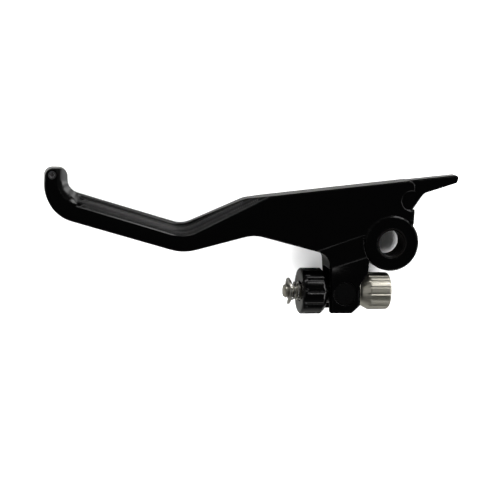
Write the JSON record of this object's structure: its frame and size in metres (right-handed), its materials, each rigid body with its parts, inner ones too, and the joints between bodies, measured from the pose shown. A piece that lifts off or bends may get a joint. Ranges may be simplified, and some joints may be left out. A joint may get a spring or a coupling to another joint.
{
  "type": "clutch lever",
  "caption": "Motorcycle clutch lever with hooked finger blade, pivot hub, stop tail and a swivelling, click-stop span adjuster for the push rod.",
  "frame": {"origin": "middle of the pivot bore, halfway between the hub's two faces", "axes": "+Z along the pivot axis, +X along the adjuster towards the push rod, +Y away from the handlebar"},
  "size_m": [0.1752, 0.0609, 0.0196],
  "materials": {
    "black_anodised": "gloss black anodised",
    "bush_dark": "dark lined bush",
    "black_steel": "black oxide",
    "bright_steel": "bright steel",
    "warm_steel": "satin turned steel"
  },
  "bodies": {
    "lever": {"lever_blade": "black_anodised", "pivot_bush_upper": "bush_dark", "pivot_bush_lower": "bush_dark", "tip_screw": "bright_steel"},
    "trunnion": {"trunnion_barrel": "black_steel", "detent_balls": "bright_steel"},
    "spindle": {"adjuster_spindle": "warm_steel", "e_clip": "warm_steel", "spring_washer": "bright_steel", "knob_spring": "bright_steel"},
    "knob": {"adjuster_knob": "black_anodised"}
  },
  "joints": [
    {"name": "trunnion_swivel", "type": "hinge", "parent": "lever", "child": "trunnion", "pos_m": [-0.02, -0.0213, 0], "axis": [0, 0, 1], "range_deg": [-8, 3]},
    {"name": "adjuster_spin", "type": "hinge", "parent": "trunnion", "child": "spindle", "pos_m": [-0.02, -0.0213, 0], "axis": [1, 0, 0], "continuous": true},
    {"name": "knob_lift", "type": "slide", "parent": "spindle", "child": "knob", "axis": [-1, 0, 0], "range_m": [0, 0.0005], "stiffness_N_per_m": 3000, "springref_m": -0.003, "deforming": ["knob_spring"]}
  ]
}
